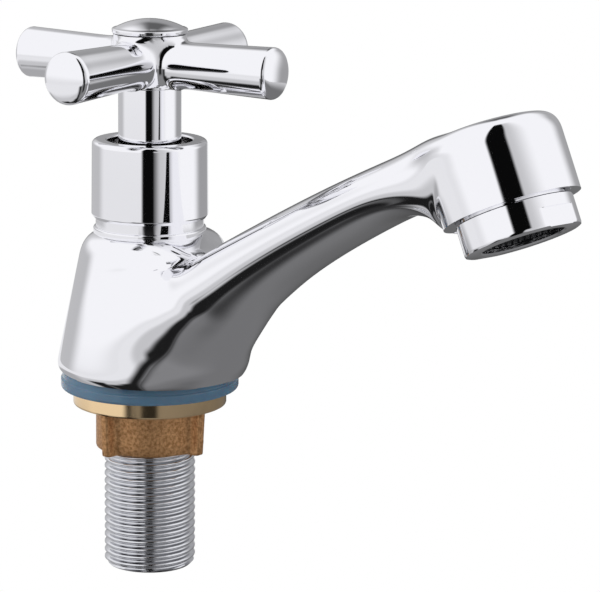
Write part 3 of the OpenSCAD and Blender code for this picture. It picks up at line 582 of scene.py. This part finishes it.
neck = {"r": 7.15, "boreR": 6.05, "low": 51.9, "high": 69.4, "footRound": 0.3}
bm = spun(bmesh.new(), rounded([
    (neck["boreR"], neck["low"]), (neck["r"], neck["low"], neck["footRound"]), (neck["r"], neck["high"]),
    (neck["boreR"], neck["high"])]), steps=128)
finished(bm, "neckSleeve", [chromePlate], "handle", "handle_neck", sharp=60)
print("shroud and neck made")


# Cross handle: one arm and its quarter of the hub are built along x, then repeated
handle = {"arms": 4, "turn": 16.5, "low": 69.4, "h": 12.0, "hubR": 7.15, "hubFlare": 1.05, "armZ": 74.8, "armL": 34.2,
          "rootR": 5.15, "tipR": 5.85, "rootX": 7.6, "rootEnd": 14.5, "armStations": (32, 30, 27, 24, 21, 18.5, 17),
          "lipR": 7.45, "lipH": 0.6, "lipT": 0.95, "lipBoreR": 6.1, "lipRound": 0.2, "blend": 1.1, "sides": 96,
          "blendRings": 13, "seamMerge": 2e-5}
# radius of each ring of the domed tip, and how far it lies behind the arm's end
tipRows = [(0.6, 0), (1.8, 0.07), (3.0, 0.22), (4.0, 0.42), (4.7, 0.62),
           (5.12, 0.82), (5.36, 1.0), (5.58, 1.25), (5.74, 1.55), (5.81, 1.85)]


def hubRadius(z):
    share = ramp(z, handle["low"] + handle["lipH"], handle["h"] - handle["lipH"])
    return handle["hubR"] + handle["hubFlare"] * share ** 2


def armRadius(x):
    share = (x - handle["rootX"]) / (handle["armL"] - handle["rootX"])
    return handle["rootR"] + (handle["tipR"] - handle["rootR"]) * share


def handleField(p):
    # hub and arms melt into each other over a fillet of even size
    total = np.exp(-(np.hypot(p[:, 0], p[:, 1]) - hubRadius(p[:, 2])) / handle["blend"])
    for i in range(handle["arms"]):
        c, s = along(90 * i)
        out, aside = p[:, 0] * c + p[:, 1] * s, p[:, 1] * c - p[:, 0] * s
        arm = np.hypot(aside, p[:, 2] - handle["armZ"]) - armRadius(out)
        total += np.where(out > 0, np.exp(-np.clip(arm, -9, 40) / handle["blend"]), 0)
    return -handle["blend"] * np.log(total)


def onHandle(p, lockZ=False, passes=12, probe=0.01, pace=0.8):
    # walks points onto the blended surface along its gradient
    p = p.copy()
    for _ in range(passes):
        f = handleField(p)
        g = np.stack([(handleField(p + d) - f) / probe for d in np.eye(3) * probe], -1)
        if lockZ:
            g[:, 2] = 0
        p -= (f / np.maximum((g * g).sum(-1), 0.05))[:, None] * g * pace
    return p


turn = bearings(handle["sides"])


def armRing(x, r):
    return np.stack([np.full_like(turn, x), r * np.cos(turn), handle["armZ"] + r * np.sin(turn)], -1)


rings = [armRing(handle["armL"] - back, r) for r, back in tipRows]
rings += [armRing(x, armRadius(x)) for x in handle["armStations"]]
root = onHandle(armRing(handle["rootEnd"], armRadius(handle["rootEnd"])))
rings.append(root)
# the arm's round ring spreads to the four-sided edge of its quarter of the hub
box = np.maximum(np.abs(np.cos(turn)), np.abs(np.sin(turn)))
side, rise = np.cos(turn) / box, np.sin(turn) / box
hubLow, hubTop = handle["low"] + handle["lipH"], handle["low"] + handle["h"]
edgeZ = handle["armZ"] + np.where(rise > 0, rise * (hubTop - handle["armZ"]), rise * (handle["armZ"] - hubLow))
edgeTurn = np.radians(45) * side
edge = np.stack([hubRadius(edgeZ) * np.cos(edgeTurn), hubRadius(edgeZ) * np.sin(edgeTurn), edgeZ], -1)
onSeam = np.abs(side) > 0.999
for t in np.linspace(0, 1, handle["blendRings"] + 2)[1:-1]:
    rings.append(onHandle(root * (1 - t) + edge * t))
last = onHandle(edge, lockZ=True)
for i in np.flatnonzero(onSeam):
    # the seam between two arms lies in the plane midway between them
    away = 1 / math.sqrt(2)
    r = hubRadius(edge[i, 2])
    for _ in range(30):
        p = np.array([[r * away, math.copysign(r * away, edge[i, 1]), edge[i, 2]]])
        r -= 0.7 * handleField(p)[0]
    last[i] = p[0]
rings.append(last)

bm = lofted(rings, capEnd=False)
quarterGeom = bm.verts[:] + bm.edges[:] + bm.faces[:]
for i in range(1, handle["arms"]):
    copy = bmesh.ops.duplicate(bm, geom=quarterGeom)["geom"]
    rotated(bm, [g for g in copy if isinstance(g, bmesh.types.BMVert)], 90 * i)
bmesh.ops.remove_doubles(bm, verts=bm.verts, dist=handle["seamMerge"])
rims = openEdges(bm)
bmesh.ops.contextual_create(bm, geom=[e for e in rims if e.verts[0].co.z > handle["armZ"] * mm])
bmesh.ops.contextual_create(bm, geom=[e for e in rims if e.verts[0].co.z < handle["armZ"] * mm])
lipTop = handle["low"] + handle["lipT"]
spun(bm, rounded([
    (handle["lipBoreR"], handle["low"]), (handle["lipR"], handle["low"], handle["lipRound"]),
    (handle["lipR"], lipTop, handle["lipRound"]), (handle["lipBoreR"], lipTop)], steps=4), steps=128)
rotated(bm, bm.verts, handle["turn"])
finished(bm, "crossHandle", [chromePlate], "handle", "cross_handle", sharp=50)

cap = {"low": 81.4, "r": 8.6, "rim": 1.2, "dome": 2.1, "domeInset": 0.5, "domeFrom": 0.96, "domeRings": 22,
       "gap": 0.12, "plugR": 5.85, "plugH": 2.8}
domeWidth, rimTop = cap["r"] - cap["domeInset"], cap["low"] + cap["rim"]
domeR = (domeWidth ** 2 + cap["dome"] ** 2) / (2 * cap["dome"])
domePoints = [(domeWidth * t, rimTop + math.sqrt(domeR ** 2 - (domeWidth * t) ** 2) - domeR + cap["dome"])
              for t in np.linspace(cap["domeFrom"], 0, cap["domeRings"])]
capCorners = [
    (0, cap["low"] - cap["plugH"]), (cap["plugR"], cap["low"] - cap["plugH"]), (cap["plugR"], cap["low"] + cap["gap"]),
    (cap["r"] - 0.1, cap["low"] + cap["gap"], 0.35), (cap["r"], rimTop - 0.05, 0.3)]
bm = spun(bmesh.new(), rounded(capCorners + [domePoints[0]])[:-1] + domePoints, steps=128, closed=False)
finished(bm, "hubCap", [chromePlate], "handle", "index_cap", sharp=40)
print("handle and cap made")


# Aerator: built upright under z = 0, then turned into the outlet
aerator = {"r": 12.2, "h": 6.9, "flatH": 4.0, "flatAf": 22.8, "lipR": 8.65, "lipH": 1.0, "boreR": 9.5,
           "threadR": 10.95, "threadL": 4.9, "sides": 160, "gauzeR": 9.3, "gauzeUp": 1.35, "gauzePitch": 0.9,
           "wireR": 0.16, "wireSides": 6, "weave": 0.14,
           "gauzeRim": ((9.3, 1.02), (9.3, 1.75), (8.6, 1.75), (8.6, 1.02))}
outlet = Matrix.Translation((reach * mm, 0, (underside + casting["rimH"]) * mm))
toOutlet = outlet @ Matrix.Rotation(math.radians(-casting["spoutTilt"]), 4, "Y")
turn = bearings(aerator["sides"])
low, ledge = -aerator["h"], -aerator["h"] + aerator["flatH"]
roundRows = [
    (aerator["threadR"], aerator["threadL"]), (aerator["threadR"], -0.3), (aerator["r"] - 0.25, -0.32),
    (aerator["r"], -0.55), (aerator["r"], -0.7), (aerator["r"], ledge + 0.2), (aerator["r"], ledge + 0.06)]
flatRows = [
    (aerator["r"], ledge), (aerator["r"], ledge - 0.15), (aerator["r"], low + 0.65), (aerator["r"], low + 0.5),
    (aerator["r"] - 0.12, low + 0.15), (aerator["r"] - 0.45, low)]
innerRows = [
    (aerator["lipR"] + 0.3, low), (aerator["lipR"], low + 0.3), (aerator["lipR"], low + aerator["lipH"]),
    (aerator["boreR"], low + aerator["lipH"]), (aerator["boreR"], aerator["threadL"])]
flats = [levelRing(turn, r, z) for r, z in flatRows]
for ring in flats:
    ring[:, 0] = np.clip(ring[:, 0], -aerator["flatAf"] / 2, aerator["flatAf"] / 2)
bm = loopedRound([levelRing(turn, r, z) for r, z in roundRows] + flats
                 + [levelRing(turn, r, z) for r, z in innerRows])
bmesh.ops.transform(bm, matrix=toOutlet, verts=bm.verts)
finished(bm, "aeratorCollar", [chromePlate], "tap", "aerator_housing", sharp=30)


def wovenWire(bm, half, offset, phase):
    # one wire along x that passes over and under its neighbours
    ring = bmesh.ops.create_circle(bm, segments=aerator["wireSides"], radius=aerator["wireR"] * mm)["verts"]
    rotated(bm, ring, 90, "Y")
    bmesh.ops.translate(bm, verts=ring, vec=(-half * mm, offset * mm, 0))
    edges = ringEdges(ring)
    bmesh.ops.contextual_create(bm, geom=edges)
    made, height = list(ring), 0.0
    steps = max(4, int(2 * half / (aerator["gauzePitch"] / 2)))
    for k in range(1, steps + 1):
        x = -half + 2 * half * k / steps
        rise = aerator["weave"] * math.cos(math.pi * x / aerator["gauzePitch"]) * phase
        points = [(v.co.x / mm + 2 * half / steps, v.co.y / mm, v.co.z / mm - height + rise) for v in ring]
        height = rise
        ring, edges = grownRing(bm, ring, edges, points)
        made += ring
    bmesh.ops.contextual_create(bm, geom=edges)
    return made


bm = bmesh.new()
wires = int(aerator["gauzeR"] / aerator["gauzePitch"])
for crosswise in (0, 1):
    for i in range(-wires, wires + 1):
        offset = i * aerator["gauzePitch"]
        half = math.sqrt(max(aerator["gauzeR"] ** 2 - offset ** 2, 0.5))
        made = wovenWire(bm, half, offset, (-1) ** (i + crosswise))
        if crosswise:
            rotated(bm, made, 90)
bmesh.ops.translate(bm, verts=bm.verts, vec=(0, 0, (low + aerator["gauzeUp"]) * mm))
spun(bm, [(r, z + low) for r, z in aerator["gauzeRim"]], steps=96)
bmesh.ops.transform(bm, matrix=toOutlet, verts=bm.verts)
# the gauze's near-black colour is painted shade of the recessed outlet
finished(bm, "outletGauze", [shadeDarkGauzeWire], "tap", "aerator_screen", sharp=40)
print("aerator made")


# The inner pieces keep their solids and only get their finish
innerFinish = {
    "cartridge_body": "nickelledBrass", "cartridge_spindle": "nickelledBrass", "cartridge_washer": "pressedFibre",
    "lower_oring": "nitrileRubber", "upper_oring": "nitrileRubber", "seat_seal": "nitrileRubber",
    "aerator_washer": "nitrileRubber", "spindle_circlip": "zincSteel", "handle_screw": "zincSteel",
    "friction_washer": "whiteAcetal", "aerator_insert": "greyAcetal",
    "moving_disc": "lappedCeramic", "fixed_disc": "lappedCeramic"}
for node, finish in innerFinish.items():
    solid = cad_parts[node].data
    solid.materials.clear()
    solid.materials.append(innerMaterials[finish])
print("inner pieces finished")


# Camera: turn is the tap's own turn about its axis, the rest places and aims the camera in mm and degrees
view = {"turn": 50.0, "distance": 700.0, "height": 165.0, "yaw": 2.81058854, "pitch": 11.92188833,
        "roll": 0.58105195, "lens": 187.5, "sensor": 36.0, "clip": 50}
turnBack = Matrix.Rotation(math.radians(view["turn"]), 4, "Z")
yaw, pitch = math.radians(view["yaw"]), math.radians(view["pitch"])
position = turnBack @ Vector((0, -view["distance"], underside + view["height"])) * mm
forward = Vector((math.sin(yaw) * math.cos(pitch), math.cos(yaw) * math.cos(pitch), -math.sin(pitch)))
aim = (turnBack.to_3x3() @ forward).to_track_quat("-Z", "Y").to_matrix().to_4x4()
cameraData = bpy.data.cameras.new("productCamera")
cameraData.lens = view["lens"]
cameraData.sensor_width = view["sensor"]
cameraData.sensor_fit = "HORIZONTAL"
cameraData.clip_end = view["clip"]
camera = bpy.data.objects.new("productCamera", cameraData)
camera.matrix_world = Matrix.Translation(position) @ aim @ Matrix.Rotation(math.radians(view["roll"]), 4, "Z")
bpy.context.scene.collection.objects.link(camera)
bpy.context.scene.camera = camera

# The studio, in metres: a floor far below, and a round tent and table that only the plate mirrors
studio = {"floorZ": -0.95, "floorHalf": 25, "floorColour": "#f4f4f4", "tentR": 0.75, "tentZ": 0.03,
          "tableZ": -0.10, "tableR": 0.74, "cameraTurn": -40.0, "clothColour": "#fdfdff",
          "clothLight": 1.0, "tableLight": 0.18, "worldLight": 0.4}


def staged(bm, name, material, up, glossyOnly):
    # puts a studio prop at a height; some are seen only as reflections in the plated metal
    bmesh.ops.translate(bm, verts=bm.verts, vec=(0, 0, up))
    mesh = bpy.data.meshes.new(name)
    bm.to_mesh(mesh)
    bm.free()
    mesh.shade_smooth()
    mesh.materials.append(material)
    prop = bpy.data.objects.new(name, mesh)
    bpy.context.scene.collection.objects.link(prop)
    if glossyOnly:
        prop.visible_camera = prop.visible_diffuse = prop.visible_shadow = prop.visible_transmission = False


def seenDirectly(tree):
    # 1 for what the camera, a mirror or glass looks at, 0 for what lights the object
    path = addNode(tree, "ShaderNodeLightPath").outputs
    mirrored = addNode(tree, "ShaderNodeMath", {"operation": "MAXIMUM"},
                       links={0: path["Is Camera Ray"], 1: path["Is Glossy Ray"]})
    return addNode(tree, "ShaderNodeMath", {"operation": "MAXIMUM"},
                   links={0: mirrored.outputs[0], 1: path["Is Transmission Ray"]}).outputs[0]


# matt white paint, a long way under the hanging tap
floorPaint, tree, shader, where = newMaterial("palePaintedFloor", 0.0, studio["floorColour"])
shader.inputs["Roughness"].default_value = 0.9
glow = addNode(tree, "ShaderNodeEmission", inputs={"Color": (1, 1, 1, 1), "Strength": 1.0})
mixed = addNode(tree, "ShaderNodeMixShader",
                links={0: seenDirectly(tree), 1: shader.outputs["BSDF"], 2: glow.outputs["Emission"]})
tree.links.new(mixed.outputs[0], tree.nodes["Material Output"].inputs["Surface"])
bm = bmesh.new()
bmesh.ops.create_grid(bm, x_segments=1, y_segments=1, size=studio["floorHalf"])
staged(bm, "paleFloor", floorPaint, studio["floorZ"], glossyOnly=False)


def band(tree, source, low, high, softLow, softHigh):
    # 1 between two values, 0 outside, with soft edges
    rise = addNode(tree, "ShaderNodeMapRange", {"interpolation_type": "SMOOTHSTEP"},
                   {"From Min": low - softLow, "From Max": low + softLow}, {"Value": source})
    fall = addNode(tree, "ShaderNodeMapRange", {"interpolation_type": "SMOOTHSTEP"},
                   {"From Min": high - softHigh, "From Max": high + softHigh, "To Min": 1.0, "To Max": 0.0},
                   {"Value": source})
    return addNode(tree, "ShaderNodeMath", {"operation": "MULTIPLY"},
                   links={0: rise.outputs[0], 1: fall.outputs[0]}).outputs[0]


def patched(name, base, patches, upright):
    # cloth or board lit evenly, with darker patches given by bearing from the camera (right is
    # positive) and by either the rise over the horizon in degrees or the distance in millimetres
    material, tree, shader, where = newMaterial(name)
    tree.nodes.remove(shader)
    turned = addNode(tree, "ShaderNodeMapping", inputs={"Rotation": (0, 0, math.radians(-studio["cameraTurn"]))},
                     links={"Vector": where})
    parts = addNode(tree, "ShaderNodeSeparateXYZ", links={"Vector": turned.outputs["Vector"]}).outputs
    bearing = addNode(tree, "ShaderNodeMath", {"operation": "ARCTAN2"}, links={0: parts["Y"], 1: parts["X"]})
    bearing = addNode(tree, "ShaderNodeMath", {"operation": "DEGREES"}, links={0: bearing.outputs[0]}).outputs[0]
    flat = addNode(tree, "ShaderNodeMapping", inputs={"Scale": (1, 1, 0)}, links={"Vector": turned.outputs["Vector"]})
    flat = addNode(tree, "ShaderNodeVectorMath", {"operation": "LENGTH"}, links={0: flat.outputs["Vector"]})
    flat = flat.outputs["Value"]
    if upright:
        other = addNode(tree, "ShaderNodeMath", {"operation": "SUBTRACT"}, {1: studio["tentZ"]}, {0: parts["Z"]})
        other = addNode(tree, "ShaderNodeMath", {"operation": "ARCTAN2"}, links={0: other.outputs[0], 1: flat})
        other = addNode(tree, "ShaderNodeMath", {"operation": "DEGREES"}, links={0: other.outputs[0]}).outputs[0]
    else:
        other = addNode(tree, "ShaderNodeMath", {"operation": "MULTIPLY"}, {1: 1000.0}, {0: flat}).outputs[0]
    level = addNode(tree, "ShaderNodeValue").outputs[0]
    level.default_value = base
    for (left, right, softLeft, softRight), (low, high, softLow, softHigh), light in patches:
        across = band(tree, bearing, left, right, softLeft, softRight)
        upward = band(tree, other, low, high, softLow, softHigh)
        share = addNode(tree, "ShaderNodeMath", {"operation": "MULTIPLY"}, links={0: across, 1: upward}).outputs[0]
        level = addNode(tree, "ShaderNodeMix", {"data_type": "FLOAT"}, {3: light}, {0: share, 2: level}).outputs[0]
    tint = addNode(tree, "ShaderNodeEmission", inputs={"Color": linear(studio["clothColour"])},
                   links={"Strength": level})
    tree.links.new(tint.outputs["Emission"], tree.nodes["Material Output"].inputs["Surface"])
    return material


# white cloth round the tap with the camera's dark gap, then the dark table top under it; each patch has
# its two bearings with their soft edges, its two heights or distances with theirs, and its light
clothPatches = [
    ((-200, 55, 1, 10), (-60, -4, 1, 4), 0.84),
    ((-200, -112, 1, 12), (-60, 10, 1, 10), 0.54),
    ((116, 154, 14, 6), (-60, 36, 1, 12), 0.42),
    ((107, 160, 14, 6), (-60, 4, 1, 8), 0.36),
    ((150, 200, 12, 1), (0, 36, 1, 12), 0.36),
    ((-200, -155, 1, 12), (0, 36, 1, 12), 0.6),
    ((160, 200, 10, 1), (32, 64, 10, 8), 0.12),
    ((-200, -168, 1, 10), (32, 64, 10, 8), 0.3),
    ((-200, -176, 1, 5), (32, 64, 10, 8), 0.12),
    ((-200, -176, 1, 8), (0, 32, 1, 10), 0.36),
    ((170, 200, 8, 1), (-60, 9, 1, 8), 0.1),
    ((-200, -170, 1, 8), (-60, 9, 1, 8), 0.16),
    ((5, 38, 1, 20), (-60, 75, 1, 4), 0.6),
    ((5, 14, 1, 7), (-60, -1, 1, 4), 0.12),
    ((-15.5, 7.5, 3, 2), (-60, 75, 1, 4), 0.003),
    ((-15.5, 16, 3, 3), (20, 75, 4, 4), 0.003)]
tablePatches = [
    ((-30, 55, 1, 30), (90, 900, 30, 1), 0.235),
    ((-25, 200, 1, 1), (600, 900, 140, 1), 0.6),
    ((-200, -24, 1, 1), (0, 900, 1, 1), 0.6),
    ((-200, -24, 1, 1), (340, 900, 80, 1), 0.86),
    ((-200, -105, 1, 12), (0, 380, 1, 60), 0.42),
    ((-70, -27, 12, 10), (-10, 142, 1, 26), 0.012),
    ((-47, -27, 7, 10), (-10, 185, 1, 32), 0.012),
    ((-92, -66, 8, 4), (-10, 190, 1, 25), 0.012),
    ((-37, -22, 5, 8), (-10, 600, 1, 60), 0.012),
    ((-13, 11, 4, 4), (225, 900, 45, 1), 0.02),
    ((-200, 200, 1, 1), (-10, 38, 1, 28), 0.03),
    ((160, 200, 25, 1), (-10, 560, 1, 40), 0.05)]
bm = bmesh.new()
bmesh.ops.create_uvsphere(bm, u_segments=96, v_segments=48, radius=studio["tentR"])
tentCloth = patched("tentCloth", studio["clothLight"], clothPatches, upright=True)
staged(bm, "reflectionTent", tentCloth, studio["tentZ"], glossyOnly=True)
bm = bmesh.new()
bmesh.ops.create_circle(bm, cap_ends=True, segments=96, radius=studio["tableR"])
tableBoard = patched("tableBoard", studio["tableLight"], tablePatches, upright=False)
staged(bm, "reflectionTable", tableBoard, studio["tableZ"], glossyOnly=True)

# soft lamps left, right and above: place and size in metres, power in watts
lamps = {"leftBox": ((-0.7, -1.0, 0.5), 0.7, 14.0), "rightBox": ((1.1, 0.2, 0.4), 0.7, 7.0),
         "topBox": ((0.1, -0.2, 1.3), 1.2, 7.0)}
for name, (place, size, power) in lamps.items():
    lampData = bpy.data.lights.new(name, "AREA")
    lampData.shape = "SQUARE"
    lampData.size = size
    lampData.energy = power
    lamp = bpy.data.objects.new(name, lampData)
    lamp.matrix_world = Matrix.Translation(place) @ (-Vector(place)).to_track_quat("-Z", "Y").to_matrix().to_4x4()
    lamp.visible_glossy = False
    bpy.context.scene.collection.objects.link(lamp)
world = bpy.data.worlds.new("paleStudio")
bpy.context.scene.world = world
world.use_nodes = True
worldTree = world.node_tree
backdrop = worldTree.nodes["Background"]
power = addNode(worldTree, "ShaderNodeMix", {"data_type": "FLOAT"}, {2: studio["worldLight"], 3: 1.0},
                {0: seenDirectly(worldTree)})
backdrop.inputs["Color"].default_value = (1, 1, 1, 1)
worldTree.links.new(power.outputs[0], backdrop.inputs["Strength"])
bpy.context.scene.view_settings.view_transform = "Standard"
print("studio made")
